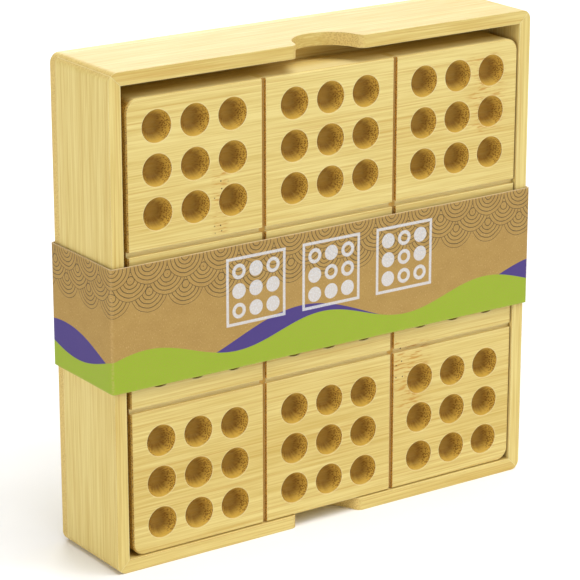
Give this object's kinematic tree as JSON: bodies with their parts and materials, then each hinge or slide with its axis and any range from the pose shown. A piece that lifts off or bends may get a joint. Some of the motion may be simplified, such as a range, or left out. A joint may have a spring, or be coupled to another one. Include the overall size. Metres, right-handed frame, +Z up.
{
  "type": "sudoku board in a box",
  "caption": "Bamboo sudoku board with round dimples, dropped into a shallow mitred bamboo box that stores its coloured balls, with a card sleeve round the middle.",
  "frame": {"origin": "centre of the footprint on the surface that the box stands on, with the sleeve counted in the footprint", "axes": "+Z up along the standing box, -Y out of the open side that shows the board, +X to the right as one looks at the board"},
  "size_m": [0.152, 0.0344, 0.15],
  "materials": {
    "bamboo_wall": "satin",
    "bamboo_base": "satin",
    "bamboo_ledge": "satin",
    "bamboo_board": "satin",
    "kraft_card": "matt",
    "ball_red": "gloss paint",
    "ball_orange": "gloss paint",
    "ball_yellow": "gloss paint",
    "ball_green": "gloss paint",
    "ball_teal": "gloss paint",
    "ball_blue": "gloss paint",
    "ball_purple": "gloss paint",
    "ball_white": "gloss paint",
    "ball_black": "gloss paint"
  },
  "bodies": {
    "box": {"top_wall": "bamboo_wall", "bottom_wall": "bamboo_wall", "left_wall": "bamboo_wall", "right_wall": "bamboo_wall", "base_panel": "bamboo_base", "top_ledge": "bamboo_ledge", "bottom_ledge": "bamboo_ledge", "balls_red": "ball_red", "balls_orange": "ball_orange", "balls_yellow": "ball_yellow", "balls_green": "ball_green", "balls_teal": "ball_teal", "balls_blue": "ball_blue", "balls_purple": "ball_purple", "balls_white": "ball_white", "balls_black": "ball_black"},
    "board": {"board": "bamboo_board"},
    "sleeve": {"sleeve": "kraft_card"}
  },
  "joints": [
    {"name": "sleeve_slide", "type": "slide", "parent": "box", "child": "sleeve", "axis": [0, 0, 1], "range_m": [0, 0.24]},
    {"name": "board_tip", "type": "hinge", "parent": "box", "child": "board", "pos_m": [0.0007, -0.00175, 0.1416], "axis": [-1, 0, 0], "range_deg": [0, 6.2]}
  ],
  "couplings": [
    {"joint": "board_tip", "follows": "sleeve_slide", "rad_per_m": 0.45}
  ]
}
